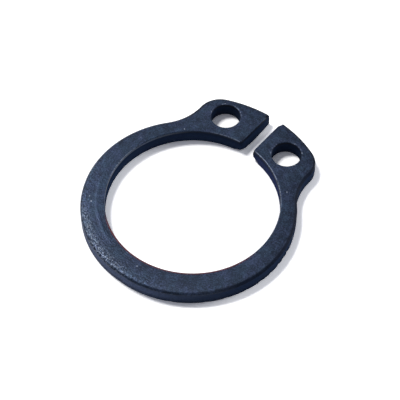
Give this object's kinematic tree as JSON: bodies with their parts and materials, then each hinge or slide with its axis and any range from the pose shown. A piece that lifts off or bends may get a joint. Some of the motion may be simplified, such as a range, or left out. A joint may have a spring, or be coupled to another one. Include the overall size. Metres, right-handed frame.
{
  "type": "external retaining ring",
  "caption": "Flat open ring that snaps into a groove round a shaft; its band narrows towards the gap, where each end widens into a lug with a plier hole.",
  "frame": {"origin": "centre of the inner circle, on the underside that the ring lies on", "axes": "+Z along the ring's axis and up, +Y from the centre through the gap between the lugs"},
  "size_m": [0.0136, 0.0156, 0.001],
  "materials": {
    "spring_steel": "black phosphate, lightly oiled, with the bright edges of a stamping"
  },
  "bodies": {
    "root": {"retaining_ring": "spring_steel"}
  },
  "joints": []
}
